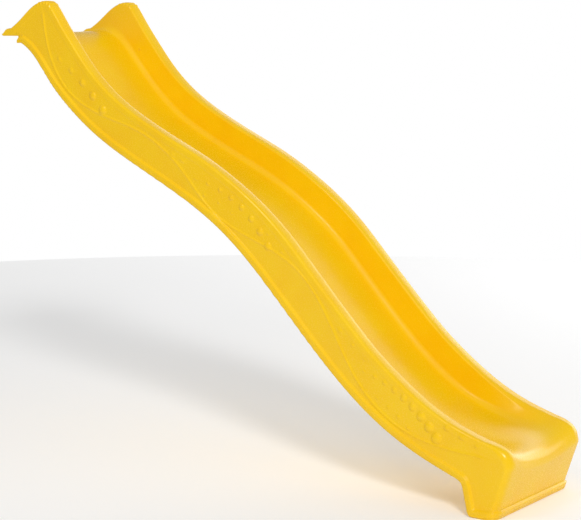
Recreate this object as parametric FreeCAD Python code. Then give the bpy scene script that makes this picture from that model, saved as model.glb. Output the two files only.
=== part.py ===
import FreeCAD, Part
import math
import os

# Wave slide for a 1.5 m platform: a hollow double-skinned plastic moulding with its fixings.
# Row frame in millimetres: +X runs downhill, +Y across, +Z up.  The origin lies on the
# platform top, midway between the two platform screws.

Vec = FreeCAD.Vector

# ---------------------------------------------------------------- driving dimensions
HALF_WIDTH = 245.0          # outer side wall, from the centre plane
TROUGH_HALF = 190.0         # inner side wall, from the centre plane
WALL = 3.5                  # thickness of both skins
GROUND_Z = -1503.0          # ground level below the platform top

LIP_THICKNESS = 15.0        # solid lip that lies on the platform
STEP_X = 45.0               # face that bears on the platform's front edge
STEP_Z = -26.0              # bottom of that face
CAVITY_START_X = 70.0       # the moulding is solid uphill of this

FLANGE_PROUD = 10.0         # parting flange beyond the side walls
FLANGE_HEIGHT = 22.0
PARTING_HEIGHT = 11.0       # parting surface above the lower edge

TROUGH_FILLET = 32.0
BUILD_TOP_Z = 300.0         # cutters reach this high, above the whole slide
BUILD_LOW_Z = -1600.0       # and this low
BUILD_BACK_X = -100.0       # and this far uphill
BUILD_FRONT_X = 2300.0      # and this far downhill

# Side profile of the hook that rests on the platform.
HOOK = [(STEP_X, 0), (-36, 0), (-42, 6), (-22, 27), (2, 30)]
# Crest of the ear and rim, from the hook over the wave to the run-out.
RIM = [(2, 30), (24, 43), (67, 73), (106, 102), (135, 118), (165, 126), (197, 124),
       (224, 98), (262, 46), (307, -11), (402, -121), (516, -216), (650, -293),
       (790, -359), (928, -422), (1054, -493), (1169, -571), (1271, -657),
       (1361, -749), (1449, -841), (1537, -931), (1627, -1017), (1724, -1094),
       (1826, -1162), (1935, -1216), (2052, -1255)]
# Sliding surface on the centre plane, from the lip to the run-out and over the nose.
BED = [(60, LIP_THICKNESS), (85, 14.6), (110, 10), (145, -4), (184, -32), (234, -85),
       (334, -196), (459, -302), (605, -385), (748, -453), (882, -515), (1001, -581),
       (1108, -654), (1203, -734), (1289, -822), (1376, -914), (1465, -1006),
       (1560, -1096), (1664, -1178), (1781, -1243), (1908, -1283), (2030, -1301),
       (2090, -1309), (2128, -1327), (2152, -1370)]
# Lower edge of the side wall, from the step to the foot.
BELLY = [(66, STEP_Z), (100, -47), (142, -86), (216, -175), (290, -247), (437, -356),
         (581, -434), (721, -501), (858, -569), (991, -648), (1122, -753), (1249, -877),
         (1374, -1004), (1497, -1121), (1616, -1217), (1734, -1291), (1848, -1344),
         (1945, -1381)]

NOSE_X = 2150.0             # foremost point of the nose
NOSE_FRONT_Z = -1330.0      # the front face leaves the nose's curve here
NOSE_TOP = (2102.0, -1268.0)
NOSE_MID = (2136.0, -1289.0)
FOOT_FRONT_X = 2092.0       # front face at the ground
FOOT_REAR_X = 2003.0        # rear face at the ground
FOOT_SHOULDER = (1978.0, -1395.0)   # the rear face meets the belly here

# Hollow cones that tie the underside to the bed.
TIE_STATIONS = 9
TIE_FIRST_X = 330.0
TIE_LAST_X = 1830.0
TIE_HALF_SPACING = 85.0
TIE_BASE_RADIUS = 26.0
TIE_TIP_RADIUS = 13.0
TIE_GAP = 0.3
TIE_REACH = 150.0           # longer than any cone

# Grip ribs across the top of each ear.
GRIP_FIRST_X = 136.0
GRIP_PITCH = 15.0
GRIP_COUNT = 5
GRIP_RADIUS = 6.0
GRIP_RISE = 3.0
GRIP_HALF_LENGTH = 16.0

# Trails of moulded bubbles on the outer walls: first and last centre, first and last
# radius, rise of the trail's arc above its chord, and the number of bubbles.
BUBBLE_TRAILS = [
    ((254, -85), (464, -266), 8.0, 18.0, -6.0, 5),
    ((937, -494), (1210, -703), 5.0, 14.0, 22.0, 8),
    ((1603, -1080), (1882, -1269), 4.5, 20.0, 12.0, 9),
]
BUBBLE_HEIGHT_RATIO = 0.2   # dome height over dome radius

# Platform fixings.
SCREW_HALF_SPACING = 150.0
SCREW_RADIUS = 3.0          # over the thread, which starts at the platform top
SCREW_NECK_RADIUS = 2.2     # plain neck inside the lip
SCREW_HEAD_RADIUS = 6.0
SCREW_HEAD_DEPTH = 3.3
SCREW_HEAD_TOP_Z = 12.3
SCREW_END_Z = -38.0
SCREW_POINT_LENGTH = 7.0
SCREW_TIP_RADIUS = 0.4
SCREW_SEAT_GAP = 0.2        # between the head's cone and its washer
SOCKET_WIDTH = 4.0
SOCKET_DEPTH = 2.0
SCREW_HOLE_RADIUS = 3.5
POCKET_RADIUS = 12.0        # pocket in the lip for the cup washer and cap
POCKET_FLOOR_Z = 9.0
CUP_RADIUS = 11.5
CUP_TOP_Z = 12.5

# Garden-hose port through the hollow rim on the +Y side.
PORT_X = 262.0
PORT_Z = -54.0
PORT_BORE_RADIUS = 9.5
PORT_BODY_RADIUS = 13.0
PORT_FLANGE_RADIUS = 19.0
PORT_FLANGE_THICKNESS = 4.0
PORT_BORE_DEPTH = 15.0
PORT_FLOOR = 4.0
SEAL_THICKNESS = 1.5
TAIL_RADIUS = 3.0
TAIL_LENGTH = 10.0
WATERWAY_RADIUS = 1.6
TUBE_RADIUS = 5.0
NOZZLE_HEAD_RADIUS = 5.5
NOZZLE_HEAD_THICKNESS = 1.5


# ---------------------------------------------------------------- geometry helpers
def at(point):
    """A profile point (x, z) as a vector on the centre plane."""
    return Vec(point[0], 0, point[1])


def spline_edge(points):
    """A smooth edge through profile points."""
    curve = Part.BSplineCurve()
    curve.interpolate([at(point) for point in points])
    return curve.toShape()


def line_edges(points):
    """Straight edges through profile points."""
    ends = [at(point) for point in points]
    return [Part.LineSegment(a, b).toShape() for a, b in zip(ends, ends[1:])]


def extrude(edges, half_width):
    """A solid of one closed side outline, symmetric about the centre plane."""
    face = Part.Face(Part.Wire(edges))
    face.translate(Vec(0, -half_width, 0))
    return face.extrude(Vec(0, 2 * half_width, 0))


def shifted(points, distance, count=70):
    """Points beside a smooth profile, offset to the left of its direction."""
    edge = spline_edge(points)
    first, last = edge.ParameterRange
    beside = []
    for i in range(count):
        parameter = first + (last - first) * i / (count - 1)
        place = edge.valueAt(parameter)
        along = edge.tangentAt(parameter)
        beside.append((place.x - along.z * distance, place.z + along.x * distance))
    return beside


def slab(x0, x1, y0, y1, z0, z1):
    """A box from its lowest to its highest corner."""
    return Part.makeBox(x1 - x0, y1 - y0, z1 - z0, Vec(x0, y0, z0))


def cylinder_y(radius, start_y, end_y, x, z):
    """A cylinder along Y between two Y values."""
    return Part.makeCylinder(radius, end_y - start_y, Vec(x, start_y, z), Vec(0, 1, 0))


def cylinder_z(radius, start_z, end_z, x, y):
    """A cylinder along Z between two Z values."""
    return Part.makeCylinder(radius, end_z - start_z, Vec(x, y, start_z))


def round_edges(solid, radius, test):
    """A solid with the edges whose middle passes a test rounded."""
    chosen = []
    for edge in solid.Edges:
        middle = (edge.FirstParameter + edge.LastParameter) / 2
        if edge.Length > 2 * radius and test(edge.valueAt(middle)):
            chosen.append(edge)
    return solid.makeFillet(radius, chosen)


def height_on(points, x):
    """The profile's Z at an X, on its smooth curve."""
    upright = line_edges([(x, BUILD_LOW_Z), (x, BUILD_TOP_Z)])[0]
    return spline_edge(points).distToShape(upright)[1][0][0].z


# ---------------------------------------------------------------- side outlines
def front_edges(rim_end, inset):
    """Nose, front face, base and rear face of the foot, down from the rim's end."""
    slant = math.atan2(NOSE_X - FOOT_FRONT_X, NOSE_FRONT_Z - GROUND_Z)
    back = inset / math.cos(slant)
    nose_top = (NOSE_TOP[0] - inset * 0.3, NOSE_TOP[1] - inset)
    nose_mid = (NOSE_MID[0] - inset * 0.8, NOSE_MID[1] - inset * 0.6)
    nose_front = (NOSE_X - back, NOSE_FRONT_Z)
    base_front = (FOOT_FRONT_X - back, GROUND_Z + inset)
    base_rear = (FOOT_REAR_X + inset, GROUND_Z + inset)
    shoulder = (FOOT_SHOULDER[0] + inset, FOOT_SHOULDER[1] + inset)
    nose = spline_edge([rim_end, nose_top, nose_mid, nose_front])
    return [nose] + line_edges([nose_front, base_front, base_rear, shoulder]), shoulder


def body_outline():
    """The whole moulding seen from the side."""
    edges = line_edges([BELLY[0], (STEP_X, STEP_Z)] + HOOK)
    edges.append(spline_edge(RIM))
    foot, shoulder = front_edges(RIM[-1], 0.0)
    edges += foot
    edges += line_edges([shoulder, BELLY[-1]])
    edges.append(spline_edge(BELLY))
    return edges


def core_outline():
    """The outline inset by the wall, which bounds the hollow inside."""
    top = shifted(RIM, -WALL)
    low = shifted(BELLY, WALL)
    edges = line_edges([low[0], top[0]])
    edges.append(spline_edge(top))
    foot, shoulder = front_edges(top[-1], WALL)
    edges += foot
    edges += line_edges([shoulder, low[-1]])
    edges.append(spline_edge(low))
    return edges


def trough_outline(outset):
    """The open space above the sliding surface, enlarged downwards by a distance."""
    bed = shifted(BED, -outset) if outset else BED
    low_front = (BUILD_FRONT_X, bed[-1][1])
    corners = [bed[-1], low_front, (BUILD_FRONT_X, BUILD_TOP_Z),
               (BUILD_BACK_X, BUILD_TOP_Z), (BUILD_BACK_X, bed[0][1]), bed[0]]
    return [spline_edge(bed)] + line_edges(corners)


def lower_outline():
    """Everything below the parting surface."""
    parting = shifted(BELLY, PARTING_HEIGHT)
    rear_x = FOOT_REAR_X + PARTING_HEIGHT
    base_z = GROUND_Z + PARTING_HEIGHT
    shoulder = (FOOT_SHOULDER[0] + PARTING_HEIGHT, FOOT_SHOULDER[1] + PARTING_HEIGHT)
    start = (BUILD_BACK_X, parting[0][1])
    corners = [parting[-1], shoulder, (rear_x, base_z), (BUILD_FRONT_X, base_z),
               (BUILD_FRONT_X, BUILD_LOW_Z), (BUILD_BACK_X, BUILD_LOW_Z), start, parting[0]]
    return [spline_edge(parting)] + line_edges(corners)


def flange_outline():
    """The parting flange's band along the lower edge and round the foot."""
    upper = shifted(BELLY, FLANGE_HEIGHT)
    shoulder = (FOOT_SHOULDER[0] + FLANGE_HEIGHT, FOOT_SHOULDER[1] + FLANGE_HEIGHT)
    front_x = FOOT_FRONT_X + FLANGE_PROUD
    top_z = GROUND_Z + FLANGE_HEIGHT
    corners = [upper[-1], shoulder, (FOOT_REAR_X + FLANGE_HEIGHT, top_z), (front_x, top_z),
               (front_x, GROUND_Z), (FOOT_REAR_X, GROUND_Z), FOOT_SHOULDER, BELLY[-1]]
    edges = [spline_edge(upper)] + line_edges(corners)
    edges.append(spline_edge(BELLY))
    return edges + line_edges([BELLY[0], upper[0]])


# ---------------------------------------------------------------- the moulding
def trough(outset):
    """The cutter for the sliding trough, or for the skin around it."""
    half = TROUGH_HALF + outset
    cutter = extrude(trough_outline(outset), half)
    lowest = BED[-1][1] - 2 * WALL

    def along_bed(point):
        on_side = abs(abs(point.y) - half) < 0.1
        on_bed = BED[0][0] < point.x < NOSE_X and lowest < point.z < BUILD_TOP_Z - 1
        return on_side and on_bed

    return round_edges(cutter, TROUGH_FILLET + outset, along_bed)


def skins():
    """The hollow moulding before it is split, without its flange."""
    body = extrude(body_outline(), HALF_WIDTH)
    core = extrude(core_outline(), HALF_WIDTH - WALL)
    core = core.cut(trough(WALL))
    core = core.cut(slab(BUILD_BACK_X, CAVITY_START_X, -HALF_WIDTH, HALF_WIDTH,
                         BUILD_LOW_Z, BUILD_TOP_Z))
    return body.cut(trough(0.0)).cut(core)


def flange():
    """The flange around the outside of the lower edge."""
    outer = HALF_WIDTH + FLANGE_PROUD
    inner = HALF_WIDTH - WALL
    band = extrude(flange_outline(), outer)
    middle = slab(BUILD_BACK_X, FOOT_FRONT_X - WALL, -inner, inner, BUILD_LOW_Z, BUILD_TOP_Z)
    return band.cut(middle)


def tie_places():
    """Base centre, inward direction and length of each stiffening cone."""
    belly = spline_edge(BELLY)
    underside = spline_edge(shifted(BED, -WALL))
    places = []
    for i in range(TIE_STATIONS):
        x = TIE_FIRST_X + (TIE_LAST_X - TIE_FIRST_X) * i / (TIE_STATIONS - 1)
        base = Vec(x, 0, height_on(BELLY, x))
        along = belly.tangentAt(belly.Curve.parameter(base))
        inward = Vec(-along.z, 0, along.x)
        ray = Part.LineSegment(base, base + inward * TIE_REACH).toShape()
        length = ray.distToShape(underside)[1][0][0].distanceToPoint(base)
        for y in (-TIE_HALF_SPACING, TIE_HALF_SPACING):
            places.append((base + Vec(0, y, 0), inward, length - TIE_GAP))
    return places


def add_ties(underside):
    """The underside with its hollow cones, each pushed up to the bed."""
    cones = []
    hollows = []
    for base, inward, length in tie_places():
        foot = base + inward * (WALL / 2)
        cones.append(Part.makeCone(TIE_BASE_RADIUS, TIE_TIP_RADIUS, length - WALL / 2,
                                   foot, inward))
        hollows.append(Part.makeCone(TIE_BASE_RADIUS, TIE_TIP_RADIUS, length,
                                     base - inward * WALL, inward))
    return underside.fuse(cones).cut(hollows)


def bubbles():
    """Moulded bubbles on both outer walls, as shallow domes."""
    domes = []
    for first, last, small, large, rise, count in BUBBLE_TRAILS:
        chord = Vec(last[0] - first[0], 0, last[1] - first[1])
        across = Vec(-chord.z, 0, chord.x).normalize()
        for i in range(count):
            share = i / (count - 1)
            centre = at(first) + chord * share + across * (rise * math.sin(math.pi * share))
            radius = small + (large - small) * share
            for side in (-1, 1):
                domes.append(dome(centre, radius, side))
    return domes


def dome(centre, radius, side):
    """A spherical cap on an outer wall, closed inside the wall's thickness."""
    height = radius * BUBBLE_HEIGHT_RATIO
    ball = (radius ** 2 + height ** 2) / (2 * height)
    middle = Vec(centre.x, side * (HALF_WIDTH + height - ball), centre.z)
    near = HALF_WIDTH - 1.0
    far = HALF_WIDTH + height + 1.0
    low_y = near if side > 0 else -far
    window = slab(centre.x - 2 * radius, centre.x + 2 * radius, low_y, low_y + far - near,
                  centre.z - 2 * radius, centre.z + 2 * radius)
    return Part.makeSphere(ball, middle).common(window)


def grip_ribs():
    """Rounded ribs across the top of both ears."""
    middle = (HALF_WIDTH + TROUGH_HALF) / 2
    ribs = []
    for i in range(GRIP_COUNT):
        x = GRIP_FIRST_X + i * GRIP_PITCH
        z = height_on(RIM, x) + GRIP_RISE - GRIP_RADIUS
        for side in (-1, 1):
            start = side * middle - GRIP_HALF_LENGTH
            rib = cylinder_y(GRIP_RADIUS, start, start + 2 * GRIP_HALF_LENGTH, x, z)
            ribs.append(rib)
    return ribs


def screw_places():
    """The Y of each platform screw with its side's name."""
    return (("left", -SCREW_HALF_SPACING), ("right", SCREW_HALF_SPACING))


def upper_skin(moulding, band, lower):
    """The chute: bed, walls, rims, ears, lip and the upper half of the flange."""
    chute = moulding.cut(lower).fuse(band.cut(lower))
    core = extrude(core_outline(), HALF_WIDTH - WALL)
    for rib in grip_ribs():
        chute = chute.fuse(rib.cut(core))
    chute = chute.fuse(bubbles())
    for name, y in screw_places():
        chute = chute.cut(cylinder_z(SCREW_HOLE_RADIUS, -1, LIP_THICKNESS, 0, y))
        chute = chute.cut(cylinder_z(POCKET_RADIUS, POCKET_FLOOR_Z, LIP_THICKNESS + 1, 0, y))
    inner = TROUGH_HALF + WALL
    chute = chute.cut(cylinder_y(PORT_BODY_RADIUS, HALF_WIDTH - 2 * WALL, HALF_WIDTH + 1,
                                 PORT_X, PORT_Z))
    chute = chute.cut(cylinder_y(TAIL_RADIUS, TROUGH_HALF - 1, inner + 1, PORT_X, PORT_Z))
    chute = chute.cut(cylinder_y(NOZZLE_HEAD_RADIUS, TROUGH_HALF - 1,
                                 TROUGH_HALF + NOZZLE_HEAD_THICKNESS, PORT_X, PORT_Z))
    return chute


def lower_skin(moulding, band, lower):
    """The underside: belly, foot rear and base, and the lower half of the flange."""
    return add_ties(moulding.common(lower).fuse(band.common(lower)))


# ---------------------------------------------------------------- platform fixings
def platform_screw(y):
    """A countersunk wood screw driven down into the platform."""
    head_bottom = SCREW_HEAD_TOP_Z - SCREW_HEAD_DEPTH
    head = Part.makeCone(SCREW_NECK_RADIUS, SCREW_HEAD_RADIUS, SCREW_HEAD_DEPTH,
                         Vec(0, y, head_bottom))
    neck = cylinder_z(SCREW_NECK_RADIUS, 0, head_bottom, 0, y)
    thread = cylinder_z(SCREW_RADIUS, SCREW_END_Z + SCREW_POINT_LENGTH, 0, 0, y)
    point = Part.makeCone(SCREW_TIP_RADIUS, SCREW_RADIUS, SCREW_POINT_LENGTH,
                          Vec(0, y, SCREW_END_Z))
    half = SOCKET_WIDTH / 2
    socket = slab(-half, half, y - half, y + half, SCREW_HEAD_TOP_Z - SOCKET_DEPTH,
                  SCREW_HEAD_TOP_Z + 1)
    return head.fuse([neck, thread, point]).cut(socket)


def cup_washer(y):
    """The countersunk washer in the bottom of the pocket."""
    ring = cylinder_z(CUP_RADIUS, POCKET_FLOOR_Z, CUP_TOP_Z, 0, y)
    hole = cylinder_z(SCREW_HOLE_RADIUS, POCKET_FLOOR_Z - 1, CUP_TOP_Z + 1, 0, y)
    seat = Part.makeCone(SCREW_NECK_RADIUS, SCREW_HEAD_RADIUS + SCREW_SEAT_GAP,
                         SCREW_HEAD_DEPTH + SCREW_SEAT_GAP,
                         Vec(0, y, SCREW_HEAD_TOP_Z - SCREW_HEAD_DEPTH))
    return ring.cut(hole).cut(seat)


def screw_cap(y):
    """The flush plastic disc over a screw."""
    return cylinder_z(CUP_RADIUS, CUP_TOP_Z, LIP_THICKNESS, 0, y)


# ---------------------------------------------------------------- hose port
def port_spans():
    """Y of the seal's outer face, the bore's floor, and the body's and the tail's inner end."""
    seat = HALF_WIDTH + SEAL_THICKNESS
    floor = seat + PORT_FLANGE_THICKNESS - PORT_BORE_DEPTH
    body_end = floor - PORT_FLOOR
    return seat, floor, body_end, body_end - TAIL_LENGTH


def hose_port():
    """The flanged socket in the outer wall with its hose tail."""
    seat, floor, body_end, tail_end = port_spans()
    mouth = seat + PORT_FLANGE_THICKNESS
    port = cylinder_y(PORT_FLANGE_RADIUS, seat, mouth, PORT_X, PORT_Z)
    port = port.fuse(cylinder_y(PORT_BODY_RADIUS, body_end, seat, PORT_X, PORT_Z))
    port = port.fuse(cylinder_y(TAIL_RADIUS, tail_end, body_end, PORT_X, PORT_Z))
    port = port.cut(cylinder_y(PORT_BORE_RADIUS, floor, mouth + 1, PORT_X, PORT_Z))
    return port.cut(cylinder_y(WATERWAY_RADIUS, tail_end - 1, floor + 1, PORT_X, PORT_Z))


def port_seal():
    """The rubber ring under the port's flange."""
    seat = port_spans()[0]
    ring = cylinder_y(PORT_FLANGE_RADIUS - 1, HALF_WIDTH, seat, PORT_X, PORT_Z)
    return ring.cut(cylinder_y(PORT_BODY_RADIUS, HALF_WIDTH - 1, seat + 1, PORT_X, PORT_Z))


def spray_nozzle():
    """The jet in the trough's wall with its own tail."""
    head_end = TROUGH_HALF + NOZZLE_HEAD_THICKNESS
    tail_end = TROUGH_HALF + WALL + TAIL_LENGTH
    nozzle = cylinder_y(NOZZLE_HEAD_RADIUS, TROUGH_HALF, head_end, PORT_X, PORT_Z)
    nozzle = nozzle.fuse(cylinder_y(TAIL_RADIUS, head_end, tail_end, PORT_X, PORT_Z))
    return nozzle.cut(cylinder_y(WATERWAY_RADIUS, TROUGH_HALF - 1, tail_end + 1,
                                 PORT_X, PORT_Z))


def water_tube():
    """The short tube that joins the two tails inside the rim."""
    start = TROUGH_HALF + WALL
    end = port_spans()[2]
    tube = cylinder_y(TUBE_RADIUS, start, end, PORT_X, PORT_Z)
    return tube.cut(cylinder_y(TAIL_RADIUS, start - 1, end + 1, PORT_X, PORT_Z))


# ---------------------------------------------------------------- all sub-parts
def build():
    """Every sub-part by its node name."""
    moulding = skins()
    band = flange()
    lower = extrude(lower_outline(), 2 * HALF_WIDTH)
    nodes = {
        "chute_shell": upper_skin(moulding, band, lower),
        "underside_shell": lower_skin(moulding, band, lower),
        "hose_port": hose_port(),
        "port_seal": port_seal(),
        "spray_nozzle": spray_nozzle(),
        "water_tube": water_tube(),
    }
    for name, y in screw_places():
        nodes["platform_screw_" + name] = platform_screw(y)
        nodes["cup_washer_" + name] = cup_washer(y)
        nodes["screw_cap_" + name] = screw_cap(y)
    return nodes


def main():
    os.makedirs("parts", exist_ok=True)
    for name, shape in build().items():
        shape.exportStep("parts/" + name + ".step")
        box = shape.BoundBox
        print(name, shape.isValid(), len(shape.Solids), round(shape.Volume / 1000, 2), "cm3",
              [round(v, 1) for v in (box.XMin, box.XMax, box.YMin, box.YMax, box.ZMin, box.ZMax)])


main()
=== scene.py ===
import math

import bpy
import numpy as np
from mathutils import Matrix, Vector


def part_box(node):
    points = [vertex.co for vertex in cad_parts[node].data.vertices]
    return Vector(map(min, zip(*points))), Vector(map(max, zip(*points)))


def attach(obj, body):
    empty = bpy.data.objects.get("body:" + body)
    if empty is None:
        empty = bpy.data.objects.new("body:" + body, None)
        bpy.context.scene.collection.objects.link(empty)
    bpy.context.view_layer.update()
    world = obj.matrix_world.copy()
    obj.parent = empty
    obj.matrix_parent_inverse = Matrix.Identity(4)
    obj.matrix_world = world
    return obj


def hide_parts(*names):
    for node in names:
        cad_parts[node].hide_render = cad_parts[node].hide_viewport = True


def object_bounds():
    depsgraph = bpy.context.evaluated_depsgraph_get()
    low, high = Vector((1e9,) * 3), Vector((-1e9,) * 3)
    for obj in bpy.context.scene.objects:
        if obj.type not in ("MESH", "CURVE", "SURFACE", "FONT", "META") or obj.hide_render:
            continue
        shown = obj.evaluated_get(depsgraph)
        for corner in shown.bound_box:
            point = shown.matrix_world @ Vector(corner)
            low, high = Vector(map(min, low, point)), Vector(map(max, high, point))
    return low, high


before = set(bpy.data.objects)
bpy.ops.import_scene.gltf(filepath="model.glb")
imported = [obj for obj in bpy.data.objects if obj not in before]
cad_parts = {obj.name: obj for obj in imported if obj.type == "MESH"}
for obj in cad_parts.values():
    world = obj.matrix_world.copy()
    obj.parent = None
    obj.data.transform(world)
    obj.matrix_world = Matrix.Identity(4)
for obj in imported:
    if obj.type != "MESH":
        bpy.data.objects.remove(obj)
cad_low, cad_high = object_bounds()

# All geometry below is worked out in millimetres in the row frame and turned to metres
# when a mesh is made.  +X runs downhill, +Y across, +Z up; Z = 0 is the platform top.
MM = 0.001

# ---------------------------------------------------------------- driving dimensions
HALF_WIDTH = 245.0
WALL = 3.5                  # thickness of the moulded skins
WALL_TOP_Y = 193.0          # inner wall just under the rim's rounding
WALL_FOOT_Y = 186.5         # inner wall where the bed's fillet begins
TROUGH_FILLET = 26.0
FULL_DEPTH = 104.0          # trough depth that the section's heights are drawn for
BED_CROWN = 3.0             # how much higher the bed's edges are than its middle
RIM_INNER_RADIUS = 10.0     # rounding of the rim's inner edge
RIM_INNER_DEPTH = 11.0      # depth at which that rounding meets the wall
RIM_CROWN = 0.5             # how much higher the rim's middle is than its edges
RIM_CORNER = 9.0            # rounding of the rim's outer edge
NOSE_CORNER = 28.0          # the same edge round the nose
RIM_BAND = 26.0             # the rim's outer band, which stands slightly proud
BAND_PROUD = 0.9
DIP_HALF = 208.0            # half width of the shallow dip that the trough ends in
DIP_POWER = 2.2             # how flat the dip's middle is
GROUND_Z = -1503.0
FLANGE_PROUD = 9.0
FLANGE_HEIGHT = 26.0
PARTING_HEIGHT = 11.0
LIP_Z = 15.0

HOOK_TOP = [(-42, 6), (-22, 27), (2, 30)]
RIM = [(2, 30), (24, 43), (67, 73), (106, 102), (135, 118), (165, 126), (197, 124),
       (224, 98), (262, 46), (307, -11), (402, -121), (516, -216), (650, -293),
       (790, -359), (928, -422), (1054, -493), (1169, -571), (1271, -657),
       (1361, -749), (1449, -841), (1537, -931), (1627, -1017), (1724, -1094),
       (1826, -1162), (1935, -1216), (2052, -1255)]
NOSE = [(2052, -1255), (2102, -1268), (2135, -1289), (2149, -1330)]
FRONT_FOOT = (2092, GROUND_Z)
BED = [(60, 15), (85, 14.6), (110, 10), (145, -4), (184, -32), (234, -85), (334, -196),
       (459, -302), (605, -385), (748, -453), (882, -515), (1001, -581), (1108, -654),
       (1203, -734), (1289, -822), (1376, -914), (1465, -1006), (1560, -1096),
       (1664, -1178), (1781, -1243), (1908, -1283), (2030, -1301), (2086, -1307),
       (2116, -1317), (2134, -1335), (2139, -1362)]
BELLY = [(66, -26), (100, -47), (142, -86), (216, -175), (290, -247), (437, -356),
         (581, -434), (721, -501), (858, -569), (991, -648), (1122, -753),
         (1249, -877), (1374, -1004), (1497, -1121), (1616, -1217), (1734, -1291),
         (1848, -1344), (1945, -1381)]
SHOULDER = (1978, -1395)
REAR_FOOT = (2003, GROUND_Z)
FOOT_ROUNDING = 26          # softens the flange's turns round the foot

# Crest points between which the trough turns to the dip, and the rim to the nose.
DIP_SPAN = ((1760, -1120), (2125, -1290))
NOSE_SPAN = ((2040, -1266), (2148, -1320))
BAND_END = (2100, -1266)    # crest point where the rim's band has died out
EAR_END = (250, 63)         # crest point below which the ears have ended

# Crest lengths along which sections are close together, for the relief there.
FINE_SPANS = [(0, 420), (650, 920), (1240, 1640), (2040, 2520)]
FRONT_SPAN = 60             # the same at the very end

# Rows of points down the outer wall, and the last ones by height over the lower edge.
WALL_ROWS = 65
FLANGE_TOP = 30.0
FLANGE_ROWS = np.array([27, 25, 23.5, 22, 20.5, 19, 17, 14, 12.2, 11, 9.8, 8, 5, 2.5, 0.0])
FLANGE_SHARE = 0.45         # most of a shallow section's height that those rows may take

# Stiffening cones pressed up from the belly to the bed.
TIE_X = np.linspace(330, 1830, 9)
TIE_Y = 85.0
TIE_MOUTH = 26.0
TIE_TIP = 12.0
TIE_DEPTH = 42.0

GRIP_X = (142.0, 213.0)     # the ribbed stretch on each ear
GRIP_RIBS = 5
GRIP_HEIGHT = 3.8
GRIP_EDGE = (9.0, 16.0)     # the ribs run out between these distances from the crest
LIP_FADE = 110              # crest length over which relief grows in from the lip

SEAM_DEPTH = 0.8            # groove of the parting line in the flange
SEAM_SPREAD = 1.2
EDGE_TUCK = 4.0             # how far the flange's lowest edge tucks in
SWIRL_RIDGE = 3.4           # height of the swirl's raised line
SWIRL_SPREAD = 3.6
SWIRL_STEP = 1.6            # height of the step beside it, and how far that reaches
SWIRL_REACH = 38.0
RELIEF_OVERLAP = 0.35       # share of the lower relief kept where swirl and bubble cross

JET = (262.0, -54.0)        # X and Z of the water jet in the far wall
JET_WALL_Y = 187.0          # the inner wall there
CAP_DOME = 1.5              # how far the caps swell above their CAD solids

# The studio, in metres and degrees.
AMBIENT = 0.43              # brightness of the room as a light
FLOOR_RADIUS = 5.4
FLOOR_GAP = 0.0005          # the floor lies this far under the slide
CAMERA_PLACE = (4.5731, -4.6942, 0.0201)
CAMERA_TILT = -7.85
CAMERA_HEADING = 36.3
SENSOR = 36.0
FOCAL_RATIO = 1665.0 / 581.0    # focal length over frame width

# Soft lights: name, place, target, width, height and power in watts.
LIGHTS = [
    ("key", (9.0, -7.6, 6.6), (1.0, 0, -0.6), 2.4, 2.4, 770),
    ("top", (1.2, -2.6, 1.7), (0.3, 0, -0.1), 0.7, 0.7, 13),
    ("back", (0.0, 6.2, 2.4), (1.0, 0, -0.8), 6.0, 2.2, 50),
    ("side", (3.8, 6.0, 0.6), (2.0, 0, -1.2), 5.0, 3.4, 130),
    ("wall", (-3.4, 6.0, 0.4), (1.2, 0, -0.8), 13.0, 1.6, 75),
]


# ---------------------------------------------------------------- profile curves
def smooth_curve(points, step=2.0):
    """A natural cubic through profile points, sampled about every step millimetres."""
    p = np.array(points, float)
    knots = np.r_[0, np.cumsum(np.linalg.norm(np.diff(p, axis=0), axis=1))]
    h = np.diff(knots)
    n = len(p)
    system = np.eye(n)
    right = np.zeros((n, 2))
    for i in range(1, n - 1):
        system[i, i - 1:i + 2] = (h[i - 1], 2 * (h[i - 1] + h[i]), h[i])
        right[i] = 6 * ((p[i + 1] - p[i]) / h[i] - (p[i] - p[i - 1]) / h[i - 1])
    second = np.linalg.solve(system, right)
    t = np.linspace(0, knots[-1], int(knots[-1] / step) + 2)
    k = np.clip(np.searchsorted(knots, t, side="right") - 1, 0, n - 2)
    a = ((knots[k + 1] - t) / h[k])[:, None]
    b = 1 - a
    bend = ((a ** 3 - a) * second[k] + (b ** 3 - b) * second[k + 1]) * h[k][:, None] ** 2 / 6
    return a * p[k] + b * p[k + 1] + bend


def straight(a, b, step=2.0):
    """Evenly spaced points from a to b."""
    a, b = np.array(a, float), np.array(b, float)
    count = max(2, int(np.linalg.norm(b - a) / step) + 1)
    return a + (b - a) * np.linspace(0, 1, count)[:, None]


def joined(*runs):
    """One path out of runs that meet end to end."""
    path = [runs[0]]
    for run in runs[1:]:
        path.append(run[1:] if np.allclose(run[0], path[-1][-1]) else run)
    return np.vstack(path)


def softened(path, reach):
    """A path resampled evenly with its corners rounded over about reach millimetres."""
    s = lengths(path)
    t = np.linspace(0, s[-1], int(s[-1] / 1.0) + 1)
    even = np.c_[np.interp(t, s, path[:, 0]), np.interp(t, s, path[:, 1])]
    return np.array([smoothed(column, int(reach)) for column in even.T]).T


def smoothed(values, width):
    """Values averaged over width places to either side, with both ends held."""
    window = np.hanning(2 * width + 3)[1:-1]
    window /= window.sum()
    pad = len(window) // 2
    first = 2 * values[0] - values[pad:0:-1]
    last = 2 * values[-1] - values[-2:-pad - 2:-1]
    return np.convolve(np.r_[first, values, last], window, "valid")


def lengths(path):
    """Length along a path up to each of its points."""
    return np.r_[0, np.cumsum(np.linalg.norm(np.diff(path, axis=0), axis=1))]


def along(path, s):
    """Points at given lengths along a path."""
    own = lengths(path)
    return np.c_[np.interp(s, own, path[:, 0]), np.interp(s, own, path[:, 1])]


def length_at(path, point):
    """Length along a path at its point nearest to a given one."""
    return lengths(path)[np.argmin(((path - np.array(point)) ** 2).sum(1))]


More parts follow.
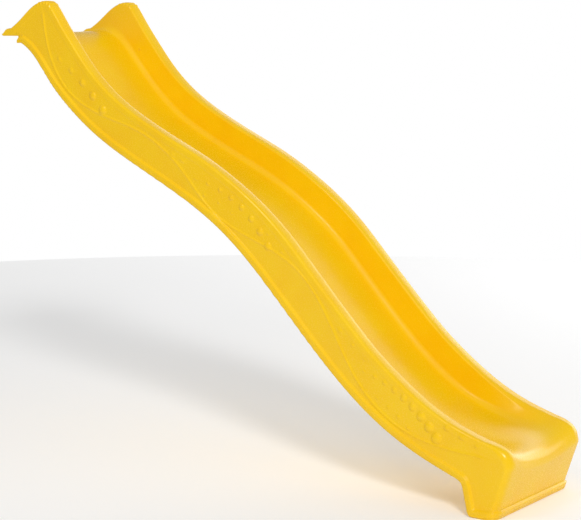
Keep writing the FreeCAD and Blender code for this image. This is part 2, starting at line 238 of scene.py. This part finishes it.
def crest_path():
    """Hook, ear, rim, nose and front face, as one path down the slide."""
    rim = joined(smooth_curve(RIM), smooth_curve(NOSE))
    return softened(joined(straight(*HOOK_TOP[:2]), straight(*HOOK_TOP[1:]), rim,
                           straight(NOSE[-1], FRONT_FOOT)), 5)


def bed_path():
    """Lip, sliding surface and the middle of the nose and front face."""
    lip = joined(straight((-42, 7), (-37, LIP_Z)), straight((-37, LIP_Z), BED[0]))
    return softened(joined(lip, smooth_curve(BED), straight(BED[-1], FRONT_FOOT)), 5)


def belly_path():
    """Underside of the hook, the step, the lower edge and the rear of the foot."""
    hook = joined(straight((-42, 5), (-36, 0)), straight((-36, 0), (45, 0)),
                  straight((45, 0), (45, -26)), straight((45, -26), BELLY[0]))
    sharp = softened(joined(hook, smooth_curve(BELLY)), 2)
    foot = foot_edge()
    return joined(sharp, foot[:np.argmax(foot[:, 1] < GROUND_Z + 0.2) + 1])


def foot_edge():
    """Lower edge from the belly's end round the back of the foot and along the ground."""
    return softened(joined(straight(BELLY[-1], SHOULDER), straight(SHOULDER, REAR_FOOT),
                           straight(REAR_FOOT, (2250, GROUND_Z))), FOOT_ROUNDING)


CREST = crest_path()
FLOOR = bed_path()
LOWER = softened(belly_path(), 2)
LOWER_EDGE = joined(smooth_curve(BELLY), foot_edge())


# ---------------------------------------------------------------- stations down the slide
def anchors():
    """Lengths along crest, floor and lower path of the points that share a section."""
    triples = [((-42, 6), (-42, 7), (-42, 5)), ((-22, 27), (-35, LIP_Z), (-36, 0)),
               ((2, 28), (0, LIP_Z), (0, 0)), ((45, 61), (30, LIP_Z), (42, 0)),
               ((67, 79), (47, LIP_Z), (45, -24)), ((106, 109), (75, LIP_Z), (66, -26)),
               ((165, 130), (112, 10), (94, -43)), ((224, 103), (155, -9), (130, -74))]
    first_wave = RIM.index((262, 46))
    offset = first_wave - BED.index((184, -32))
    for i in range(first_wave, len(RIM)):
        rim = np.array(RIM[i], float)
        lower = LOWER[np.argmin(((LOWER - rim) ** 2).sum(1))]
        triples.append((RIM[i], BED[i - offset], tuple(lower)))
    triples[-1] = (RIM[-1], (2030, -1301), BELLY[-1])
    triples += [(NOSE[1], (2088, -1308), (1970, -1392)),
                (NOSE[2], (2126, -1325), (1979, -1407)),
                (NOSE[-1], (2138, -1356), (1984, -1425)),
                ((2131, -1387), (2131, -1387), (1991, -1452)),
                (FRONT_FOOT, FRONT_FOOT, tuple(LOWER[-1]))]
    table = [(length_at(CREST, r), length_at(FLOOR, d), length_at(LOWER, b))
             for r, d, b in triples]
    return np.array(table)


def stations(fine=3.0, coarse=7.0):
    """Crest lengths of the sections, closer together where there is fine relief."""
    total = lengths(CREST)[-1]
    fine_spans = FINE_SPANS + [(total - FRONT_SPAN, total)]
    place, places = 0.0, [0.0]
    while place < total:
        inside = any(a <= place < b for a, b in fine_spans)
        place += fine if inside else coarse
        places.append(min(place, total))
    if places[-1] - places[-2] < 0.5:
        places.pop(-2)
    return np.array(places)


def matched(table, column, s):
    """The partner length for crest lengths s, smoothed along the slide."""
    dense = np.arange(0, table[-1, 0] + 1, 1.0)
    partner = np.interp(dense, table[:, 0], table[:, column])
    return np.interp(s, dense, np.maximum.accumulate(smoothed(partner, 29)))


def blend_step(x, low, high):
    """0 below low, 1 above high, smooth between."""
    t = np.clip((np.asarray(x, float) - low) / (high - low), 0, 1)
    return t * t * (3 - 2 * t)


# ---------------------------------------------------------------- the cross-section
def deep_trough():
    """Half section of the deep trough: Y and depth from the middle out to the rim's top."""
    bed_half = WALL_FOOT_Y - TROUGH_FILLET
    bed_y = np.linspace(0, bed_half, 15)
    bed_d = FULL_DEPTH - BED_CROWN * (bed_y / bed_half) ** 2
    turn = np.radians(np.linspace(0, 90, 12)[1:])
    fillet_y = bed_half + TROUGH_FILLET * np.sin(turn)
    fillet_d = bed_d[-1] - TROUGH_FILLET * (1 - np.cos(turn))
    wall_d = np.linspace(fillet_d[-1], RIM_INNER_DEPTH, 9)[1:]
    wall_y = np.interp(wall_d, [RIM_INNER_DEPTH, fillet_d[-1]], [WALL_TOP_Y, WALL_FOOT_Y])
    turn = np.radians(np.linspace(0, 82, 7)[1:])
    top_y = WALL_TOP_Y + RIM_INNER_RADIUS * (1 - np.cos(turn))
    top_d = RIM_INNER_DEPTH - RIM_INNER_RADIUS * np.sin(turn)
    return np.r_[bed_y, fillet_y, wall_y, top_y], np.r_[bed_d, fillet_d, wall_d, top_d]


def shallow_trough(y_deep):
    """The same half section at the nose, where the trough is a wide shallow dip."""
    even = np.linspace(0, 0.6 * DIP_HALF, len(y_deep))
    y = y_deep / y_deep[-1] * 0.4 * DIP_HALF + even
    d = FULL_DEPTH * np.clip(1 - (y / DIP_HALF) ** DIP_POWER, 0, 1)
    return y, d


# ---------------------------------------------------------------- relief on the outer walls
SWIRL = [(175, 80), (205, -60), (280, -182), (440, -274), (640, -334), (820, -448),
         (980, -605), (1180, -694), (1340, -778), (1470, -945), (1590, -1135),
         (1740, -1250), (2045, -1305)]

# Trails of bubbles in both outer walls: first and last centre (X, Z), first and last
# radius, rise of the trail's arc above its chord, and the number of bubbles.
BUBBLE_TRAILS = [
    ((255, -85), (465, -265), 9, 18, 10, 5),
    ((280, -160), (300, -190), 6, 7, 0, 2),
    ((790, -410), (837, -430), 9, 7, 0, 2),
    ((895, -490), (1210, -702), 6, 15, 42, 8),
    ((935, -545), (1055, -600), 6, 5, 8, 3),
    ((1210, -660), (1270, -716), 5, 7, 0, 2),
    ((1507, -960), (1605, -1045), 9, 5, 0, 3),
    ((1603, -1084), (1882, -1268), 6, 20, 27, 9),
    ((1610, -1146), (1775, -1250), 5, 8, 8, 5),
    ((1920, -1228), (2030, -1274), 11, 8, 0, 3),
]
BUBBLE_RISE = 0.42          # a dome's height as a share of its radius
BUBBLE_EDGE = 0.7           # how softly a dome meets the wall


def nearest(points, path):
    """Distance from points to a path, and whether each lies left (+1) or right (-1) of it."""
    ahead = np.gradient(path, axis=0)
    distance = np.empty(len(points))
    side = np.empty(len(points))
    for start in range(0, len(points), 4000):
        block = points[start:start + 4000]
        away = block[:, None, :] - path[None]
        square = (away ** 2).sum(2)
        k = square.argmin(1)
        rows = np.arange(len(block))
        distance[start:start + 4000] = np.sqrt(square[rows, k])
        gap = away[rows, k]
        side[start:start + 4000] = np.sign(ahead[k, 0] * gap[:, 1] - ahead[k, 1] * gap[:, 0])
    return distance, side


def flange_relief(points):
    """How far the flange stands out at profile points, by distance from the lower edge."""
    distance, _ = nearest(points, LOWER_EDGE[::3])
    top = blend_step(distance, FLANGE_HEIGHT + 3.0, FLANGE_HEIGHT - 4.0)
    seam = SEAM_DEPTH * np.exp(-((distance - PARTING_HEIGHT) / SEAM_SPREAD) ** 2)
    tuck = EDGE_TUCK * blend_step(distance, 5.0, 0.0)
    return FLANGE_PROUD * top - seam - tuck


def swirl_relief(points):
    """The long raised line that snakes down the wall, with a slight step beside it."""
    path = smooth_curve(SWIRL, 4.0)
    distance, side = nearest(points, path)
    ridge = SWIRL_RIDGE * np.exp(-(distance / SWIRL_SPREAD) ** 2)
    near = np.exp(-(distance / SWIRL_REACH) ** 2)
    step = SWIRL_STEP * blend_step(side * distance, 2.0, -5.0) * near
    return ridge + step


def trail(first, last, first_radius, last_radius, rise, count):
    """Centres and radii of one trail of bubbles, evenly spaced along a shallow arc."""
    t = np.linspace(0, 1, count)
    first = np.array(first, float)
    chord = np.array(last, float) - first
    above = np.array([-chord[1], chord[0]]) / np.hypot(*chord)
    centres = first + np.outer(t, chord) + np.outer(4 * rise * t * (1 - t), above)
    return zip(centres, first_radius + (last_radius - first_radius) * t)


def bubble_relief(points):
    """The moulded bubbles as rounded domes with a soft edge."""
    height = np.zeros(len(points))
    for row in BUBBLE_TRAILS:
        for centre, radius in trail(*row):
            square = ((points - centre) ** 2).sum(1) / radius ** 2
            dome = np.clip(1 - square, 0, 1) ** BUBBLE_EDGE
            height = np.maximum(height, BUBBLE_RISE * radius * dome)
    return height


def grip_relief(points):
    """The grip ribs across each ear's top, with hollows between them."""
    across = points[:, 0] - GRIP_X[0]
    span = GRIP_X[1] - GRIP_X[0]
    wave = 0.5 - 0.5 * np.cos(2 * np.pi * GRIP_RIBS * across / span)
    inside = blend_step(across, -4, 4) * blend_step(span - across, -4, 4)
    return inside * (GRIP_HEIGHT * wave - 0.45 * GRIP_HEIGHT)


# ---------------------------------------------------------------- building the sections
def section_grid():
    """Every station's half section, from the bed's middle over the rim to the lower edge.

    Returns the stations' crest lengths, the Y and XZ of each point, the direction and
    the distance from crest to lower edge, and the column of the parting line.
    """
    table = anchors()
    s = stations()
    crest = along(CREST, s)
    floor = along(FLOOR, matched(table, 1, s))
    lower = along(LOWER, matched(table, 2, s))
    lower[-1] = LOWER[-1]
    floor[-1] = FRONT_FOOT
    drop = lower - crest
    height = np.linalg.norm(drop, axis=1)[:, None]
    drop = drop / np.maximum(height, 1e-6)

    y_in, share = trough_half(s)
    y_out, depth = wall_half(s, y_in[:, -1:], height)
    inner = crest[:, None, :] + (floor - crest)[:, None, :] * share[..., None]
    outer = crest[:, None, :] + drop[:, None, :] * depth[..., None]
    y = np.hstack([y_in, y_out])
    xz = np.concatenate([inner, outer], 1)
    parting = y.shape[1] - 1 - int(np.argmax(FLANGE_ROWS[::-1] >= PARTING_HEIGHT))
    return s, y, xz, drop, height, parting


def crest_blend(s, span):
    """0 before the first of two crest points, 1 after the second, smooth between."""
    return blend_step(s, length_at(CREST, span[0]), length_at(CREST, span[1]))


def trough_half(s):
    """Y and share of the bed's depth from the middle to the rim, easing to the dip."""
    dip = crest_blend(s, DIP_SPAN)[:, None]
    deep_y, deep_d = deep_trough()
    flat_y, flat_d = shallow_trough(deep_y)
    y = deep_y + (flat_y - deep_y) * dip
    return y, (deep_d + (flat_d - deep_d) * dip) / FULL_DEPTH


def wall_half(s, last_y, height):
    """Y and depth over the rim, round its outer edge and down the wall and the flange."""
    corner = (RIM_CORNER + (NOSE_CORNER - RIM_CORNER) * crest_blend(s, NOSE_SPAN))[:, None]
    arc = np.radians(np.linspace(0, 90, 9))
    rim = np.linspace(0, 1, 7)[1:-1]
    arc_start = HALF_WIDTH - corner
    y_rim = last_y + (arc_start - last_y) * rim
    d_rim = np.zeros_like(y_rim) + RIM_CROWN * (2 * rim - 1) ** 2
    y_arc = arc_start + corner * np.sin(arc)
    d_arc = RIM_CROWN + corner * (1 - np.cos(arc))

    wall_end = np.maximum(height - FLANGE_TOP, corner + 4)
    fill = np.linspace(0, 1, WALL_ROWS + 1)[1:]
    d_wall = d_arc[:, -1:] + (wall_end - d_arc[:, -1:]) * fill
    squeeze = np.minimum(1, height * FLANGE_SHARE / FLANGE_TOP)
    d_flange = height - FLANGE_ROWS * squeeze
    d_wall = np.minimum(d_wall, d_flange[:, :1] - 0.3)
    depth = np.minimum(np.hstack([d_rim, d_arc, d_wall, d_flange]), height)
    y = np.hstack([y_rim, y_arc, np.full(d_wall.shape, HALF_WIDTH),
                   np.full(d_flange.shape, HALF_WIDTH)])
    return y, depth


def outward(y, xz, drop):
    """The section's outward direction at each point, in Y and in depth."""
    depth = ((xz - xz[:, -1:]) * drop[:, None, :]).sum(2)
    run_y = np.gradient(y, axis=1)
    run_d = np.gradient(depth, axis=1)
    size = np.maximum(np.hypot(run_y, run_d), 1e-9)
    return run_d / size, -run_y / size


def wall_relief(s, y, xz, out_y, out_d):
    """How far every point stands out: flange, swirl, bubbles, the rim's band and ribs."""
    flat = xz.reshape(-1, 2)
    flange = flange_relief(flat).reshape(y.shape)
    swirl = swirl_relief(flat).reshape(y.shape)
    bubble = bubble_relief(flat).reshape(y.shape)
    below_crest = nearest(flat, CREST[::3])[0].reshape(y.shape)
    on_wall = blend_step(out_y, 0.9, 0.999)
    before_nose = crest_blend(s, (BAND_END, RIM[-2]))[:, None]
    band = BAND_PROUD * blend_step(below_crest, RIM_BAND + 2.0, RIM_BAND - 2.0) * before_nose
    relief = np.maximum(swirl, bubble) + RELIEF_OVERLAP * np.minimum(swirl, bubble)
    lift = flange + on_wall * (relief + band)

    near_ear = (s < length_at(CREST, EAR_END))[:, None]
    top = blend_step(below_crest, GRIP_EDGE[1], GRIP_EDGE[0]) * (y > WALL_TOP_Y + 1)
    lift = lift + top * near_ear * grip_relief(flat).reshape(y.shape)
    fade = blend_step(s, 0, LIP_FADE)[:, None]
    return lift * np.where(near_ear & (out_d > -0.5), fade, 1.0)


def relieved(s, y, xz, drop):
    """The outer surface moved out by its relief, along the section's own normal."""
    out_y, out_d = outward(y, xz, drop)
    out_y[:, 0] = 0
    lift = wall_relief(s, y, xz, out_y, out_d)
    moved = xz + drop[:, None, :] * (out_d * lift)[..., None]
    moved[..., 1] = np.maximum(moved[..., 1], GROUND_Z)
    return np.minimum(y + out_y * lift, HALF_WIDTH + FLANGE_PROUD + 0.8), moved


def lining(y, xz, drop, height, last):
    """The inner face of the skin, a wall's thickness in from every third point."""
    out_y, out_d = outward(y, xz, drop)
    thick = np.minimum(WALL, 0.25 * height)
    columns = list(range(0, last, 3)) + [last]
    in_y = y - out_y * thick
    in_y[:, 0] = 0
    in_xz = xz - drop[:, None, :] * (out_d * thick)[..., None]
    return in_y[:, columns], in_xz[:, columns]


def tie_relief(points, y):
    """How far the belly is pressed in at points, by the stiffening cones."""
    belly = smooth_curve(BELLY)
    depth = np.zeros(y.shape)
    for x in TIE_X:
        centre = belly[np.argmin(abs(belly[:, 0] - x))]
        along = np.linalg.norm(points - centre, axis=-1)
        reach = np.hypot(along, abs(y) - TIE_Y)
        depth = np.maximum(depth, TIE_DEPTH * blend_step(reach, TIE_MOUTH, TIE_TIP))
    return depth


def both_sides(y, xz):
    """A run from the left side over the middle to the right, from half-section columns."""
    left = np.concatenate([xz[:, ::-1, :1], -y[:, ::-1, None], xz[:, ::-1, 1:]], 2)
    right = np.concatenate([xz[..., :1], y[..., None], xz[..., 1:]], 2)
    skip = 1 if np.allclose(y[:, 0], 0) else 0
    return np.concatenate([left, right[:, skip:]], 1)


def loft(name, grid):
    """A closed mesh through loops of points, with flat caps at both ends."""
    n, m, _ = grid.shape
    index = np.arange(n * m).reshape(n, m)
    a = index[:-1]
    b = index[1:]
    quads = np.stack([a, np.roll(a, -1, 1), np.roll(b, -1, 1), b], 2).reshape(-1, 4)
    faces = [tuple(map(int, q)) for q in quads]
    faces.append(tuple(int(i) for i in index[0][::-1]))
    faces.append(tuple(int(i) for i in index[-1]))
    mesh = bpy.data.meshes.new(name)
    mesh.from_pydata((grid.reshape(-1, 3) * MM).tolist(), [], faces)
    mesh.update()
    piece = bpy.data.objects.new(name, mesh)
    bpy.context.scene.collection.objects.link(piece)
    piece.data.shade_smooth()
    return piece


def finish_piece(piece, body, slot, material, *nodes):
    """Paints a piece, hangs it under its body and hides the CAD nodes it stands for. The slot
    is not used.
    """
    piece.data.materials.clear()
    piece.data.materials.append(material)
    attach(piece, body)
    if nodes:
        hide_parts(*nodes)


# ---------------------------------------------------------------- materials
def plastic(name, colour, deep, roughness, metallic=0.0):
    """A moulded or plated finish with faint mottling, flow marks and fine scuffs."""
    material = bpy.data.materials.new(name)
    material.use_nodes = True
    tree = material.node_tree
    shader = tree.nodes["Principled BSDF"]
    coords = tree.nodes.new("ShaderNodeTexCoord")
    cloud = noise(tree, coords, scale=9.0, detail=3.0, rough=0.55)
    tone = tree.nodes.new("ShaderNodeMix")
    tone.data_type = "RGBA"
    tone.inputs[6].default_value = (*colour, 1)
    tone.inputs[7].default_value = (*deep, 1)
    tree.links.new(ramp(tree, cloud, 0.35, 0.7, 0.0, 1.0), tone.inputs[0])
    tree.links.new(tone.outputs[2], shader.inputs["Base Color"])
    grain = noise(tree, coords, scale=260.0, detail=3.0, rough=0.6)
    tree.links.new(ramp(tree, grain, 0.3, 0.75, roughness - 0.05, roughness + 0.09),
                   shader.inputs["Roughness"])
    ripple = noise(tree, coords, scale=26.0, detail=2.0, rough=0.4)
    skin = noise(tree, coords, scale=900.0, detail=2.0, rough=0.5)
    first = bump(tree, ripple, strength=0.2, distance=0.001, normal=None)
    second = bump(tree, skin, strength=0.06, distance=0.0003, normal=first)
    tree.links.new(second, shader.inputs["Normal"])
    shader.inputs["IOR"].default_value = 1.5
    shader.inputs["Metallic"].default_value = metallic
    shader.inputs["Specular IOR Level"].default_value = 0.4
    return material


def noise(tree, coords, scale, detail, rough):
    """A noise texture in object space; returns its value."""
    node = tree.nodes.new("ShaderNodeTexNoise")
    node.inputs["Scale"].default_value = scale
    node.inputs["Detail"].default_value = detail
    node.inputs["Roughness"].default_value = rough
    tree.links.new(coords.outputs["Object"], node.inputs["Vector"])
    return node.outputs["Fac"]


def ramp(tree, value, low, high, out_low, out_high):
    """A value mapped from one range to another, clamped."""
    node = tree.nodes.new("ShaderNodeMapRange")
    node.inputs["From Min"].default_value = low
    node.inputs["From Max"].default_value = high
    node.inputs["To Min"].default_value = out_low
    node.inputs["To Max"].default_value = out_high
    tree.links.new(value, node.inputs["Value"])
    return node.outputs["Result"]


def bump(tree, height, strength, distance, normal):
    """A bump node on top of an earlier normal."""
    node = tree.nodes.new("ShaderNodeBump")
    node.inputs["Strength"].default_value = strength
    node.inputs["Distance"].default_value = distance
    tree.links.new(height, node.inputs["Height"])
    if normal is not None:
        tree.links.new(normal, node.inputs["Normal"])
    return node.outputs["Normal"]


# ---------------------------------------------------------------- the moulding
def moulding():
    """The chute's upper skin, the underside and the sole, from one set of sections."""
    s, plain_y, plain_xz, drop, height, parting = section_grid()
    y, xz = relieved(s, plain_y, plain_xz, drop)
    yellow = plastic("yellow_moulding", (0.94, 0.59, 0.002), (0.93, 0.55, 0.001), 0.24)
    under = plastic("yellow_underside", (0.91, 0.57, 0.002), (0.89, 0.53, 0.002), 0.34)
    above = np.nonzero(xz[:, 0, 1] > GROUND_Z + PARTING_HEIGHT)[0]
    last = int(above[-1]) + 1

    outer = both_sides(y[:, :parting + 1], xz[:, :parting + 1])
    in_y, in_xz = lining(plain_y, plain_xz, drop, height, parting)
    inner = both_sides(in_y, in_xz)
    chute = loft("chute", np.concatenate([outer, inner[:, ::-1]], 1)[:last + 1])
    finish_piece(chute, "root", "yellow_moulding", yellow, "chute_shell")
    sole = loft("sole", outer[last:])
    finish_piece(sole, "root", "yellow_underside", under, "underside_shell")

    underside = loft("underside", underside_grid(y, xz, drop, height, parting))
    finish_piece(underside, "root", "yellow_underside", under, "underside_shell")


def underside_grid(y, xz, drop, height, parting):
    """Loops of the lower skin: flange, edge and belly outside, and the same again inside."""
    across = np.linspace(1, 0, 56)[1:]
    edge_y, edge_xz = y[:, parting:], xz[:, parting:]
    belly_y = (edge_y[:, -1:] - 2) * across
    belly_xz = np.repeat(edge_xz[:, -1:], len(across), 1)
    pressed = tie_relief(belly_xz, belly_y)
    belly_xz = belly_xz - drop[:, None, :] * pressed[..., None]
    thick = np.minimum(WALL, 0.25 * height)
    out_y = np.hstack([edge_y, belly_y])[:, ::-1]
    out_xz = np.concatenate([edge_xz, belly_xz], 1)[:, ::-1]
    in_y = np.hstack([edge_y - thick, np.minimum(belly_y, edge_y[:, -1:] - thick)])[:, ::-1]
    lift = np.hstack([np.zeros(edge_y.shape), np.ones(belly_y.shape)]) * thick
    lift[:, edge_y.shape[1] - 1] = thick[:, 0]
    in_xz = out_xz - drop[:, None, :] * lift[:, ::-1, None]
    outer = both_sides(out_y, out_xz)
    inner = both_sides(in_y, in_xz)
    return np.concatenate([outer, inner[:, ::-1]], 1)


# ---------------------------------------------------------------- fittings
def turned(name, profile, centre, along_y, turns=40):
    """A closed solid of revolution from (radius, place) points, about Z or about Y."""
    angle = np.linspace(0, 2 * np.pi, turns, endpoint=False)
    grid = np.empty((len(profile), turns, 3))
    for row, (radius, place) in zip(grid, profile):
        row[:, 0] = centre[0] + radius * np.cos(angle)
        row[:, 1] = place if along_y else centre[1] + radius * np.sin(angle)
        row[:, 2] = centre[2] + radius * np.sin(angle) if along_y else place
    return loft(name, grid[:, ::-1] if along_y else grid)


def screw_caps():
    """Domed press-in caps over the two platform screws."""
    satin = plastic("yellow_cap", (0.90, 0.58, 0.006), (0.88, 0.54, 0.004), 0.36)
    for side, sign in (("left", 1), ("right", -1)):
        node = "screw_cap_" + side
        low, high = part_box(node)
        middle = (np.array(low) + np.array(high)) / 2 / MM
        radius = (high.x - low.x) / 2 / MM
        base, top = low.z / MM, high.z / MM + CAP_DOME
        dome = [(radius * math.cos(a), base + 1 + (top - base - 1) * math.sin(a))
                for a in np.radians(np.linspace(0, 84, 9))]
        cap = turned("cap_" + side, [(radius - 1, base), (radius, base + 0.6)] + dome,
                     middle, False)
        finish_piece(cap, "root", "yellow_cap", satin, node)


def water_jet():
    """The jet's yellow rim in the far inner wall, and a near-black plug 1 mm inside its hole
    that paints the shade of the hole's inside.
    """
    satin = plastic("yellow_nozzle", (0.90, 0.58, 0.006), (0.88, 0.54, 0.004), 0.36)
    painted_hole_shade = plastic("jet_painted_shade", (0.02, 0.018, 0.012), (0.012, 0.011, 0.009), 0.5)
    face = JET_WALL_Y
    centre = (JET[0], 0, JET[1])
    rim = turned("jet_rim", [(3.0, face + 6), (3.0, face), (3.4, face - 0.7), (4.8, face - 0.8),
                             (5.5, face - 0.2), (5.5, face + 3), (4.0, face + 3.2),
                             (4.0, face + 6)], centre, True)
    finish_piece(rim, "root", "yellow_nozzle", satin, "spray_nozzle")
    # Painted shade: the near-black plug stands for the shade inside the jet's hole, not for a
    # black part.
    hole = turned("jet_orifice_shade_plug", [(2.9, face + 1.0), (2.9, face + 5.9), (2.4, face + 16)],
                  centre, True)
    finish_piece(hole, "root", "black_plastic", painted_hole_shade, "spray_nozzle")


def paint_fittings():
    """Worn metal, nylon, rubber and vinyl on the fittings that keep their CAD shape."""
    zinc = plastic("zinc_steel", (0.62, 0.63, 0.65), (0.50, 0.51, 0.52), 0.30, 1.0)
    washer = plastic("washer_steel", (0.66, 0.66, 0.66), (0.56, 0.56, 0.57), 0.26, 1.0)
    nylon = plastic("black_plastic", (0.030, 0.030, 0.031), (0.018, 0.018, 0.019), 0.42)
    rubber = plastic("black_rubber", (0.020, 0.020, 0.020), (0.030, 0.029, 0.028), 0.72)
    vinyl = plastic("clear_tube", (0.75, 0.78, 0.74), (0.68, 0.71, 0.66), 0.22)
    finishes = {"platform_screw_left": zinc, "platform_screw_right": zinc,
                "cup_washer_left": washer, "cup_washer_right": washer,
                "hose_port": nylon, "port_seal": rubber, "water_tube": vinyl}
    for name, material in finishes.items():
        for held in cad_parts[name].material_slots:
            held.material = material


# ---------------------------------------------------------------- studio
def studio():
    """Pale floor, white room, soft lights and the camera."""
    pale_floor()
    world = bpy.data.worlds.new("studio")
    bpy.context.scene.world = world
    world.use_nodes = True
    backdrop(world.node_tree)
    for row in LIGHTS:
        area(*row)
    camera_view()
    bpy.context.scene.view_settings.view_transform = "Standard"


def pale_floor():
    """A round matt floor just under the slide."""
    bpy.ops.mesh.primitive_circle_add(vertices=160, radius=FLOOR_RADIUS, fill_type="NGON",
                                      location=(1.0, 0, cad_low.z - FLOOR_GAP))
    floor = bpy.context.object
    floor.name = "floor"
    pale = bpy.data.materials.new("pale_floor")
    pale.use_nodes = True
    sockets = pale.node_tree.nodes["Principled BSDF"].inputs
    sockets["Base Color"].default_value = (0.90, 0.90, 0.90, 1)
    sockets["Roughness"].default_value = 0.9
    sockets["Emission Color"].default_value = (1, 1, 1, 1)
    sockets["Emission Strength"].default_value = 0.12
    floor.data.materials.append(pale)


def camera_view():
    """The camera in front of the foot and to the left."""
    data = bpy.data.cameras.new("camera")
    data.sensor_width = SENSOR
    data.lens = SENSOR * FOCAL_RATIO
    camera = bpy.data.objects.new("camera", data)
    camera.location = CAMERA_PLACE
    camera.rotation_euler = (math.radians(90 + CAMERA_TILT), 0, math.radians(CAMERA_HEADING))
    bpy.context.scene.collection.objects.link(camera)
    bpy.context.scene.camera = camera


def backdrop(tree):
    """White as the camera sees it, dimmer as a light, so that the lamps shape the object."""
    path = tree.nodes.new("ShaderNodeLightPath")
    strength = ramp(tree, path.outputs["Is Camera Ray"], 0.0, 1.0, AMBIENT, 1.0)
    tree.links.new(strength, tree.nodes["Background"].inputs["Strength"])
    tree.nodes["Background"].inputs["Color"].default_value = (1, 1, 1, 1)


def area(name, place, target, width, height, power):
    """A rectangular soft light aimed at a point."""
    data = bpy.data.lights.new(name, "AREA")
    data.shape = "RECTANGLE"
    data.size = width
    data.size_y = height
    data.energy = power
    light = bpy.data.objects.new(name, data)
    bpy.context.scene.collection.objects.link(light)
    aim = np.array(target) - np.array(place)
    light.location = place
    light.rotation_euler = Vector(aim).to_track_quat("-Z", "Y").to_euler()


moulding()
screw_caps()
water_jet()
paint_fittings()
studio()
